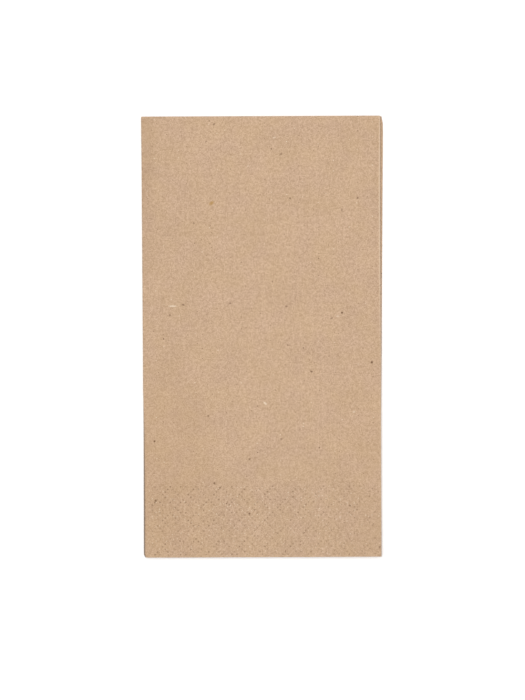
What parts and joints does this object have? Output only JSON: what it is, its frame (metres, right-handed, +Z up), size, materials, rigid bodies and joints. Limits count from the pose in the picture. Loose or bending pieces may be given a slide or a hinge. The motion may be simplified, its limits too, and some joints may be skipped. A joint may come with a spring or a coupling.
{
  "type": "paper napkin",
  "caption": "Brown paper napkin folded flat into a narrow rectangle, with a closed cross fold at one end and nested folds along the sides.",
  "frame": {"origin": "middle of the underside of the folded stack", "axes": "+X across the stack towards the open side, +Y along it towards the closed cross fold, +Z up through the layers"},
  "size_m": [0.1088, 0.198, 0.003],
  "materials": {
    "brown_paper": "matt unbleached tissue"
  },
  "bodies": {
    "root": {"napkin": "brown_paper"}
  },
  "joints": []
}
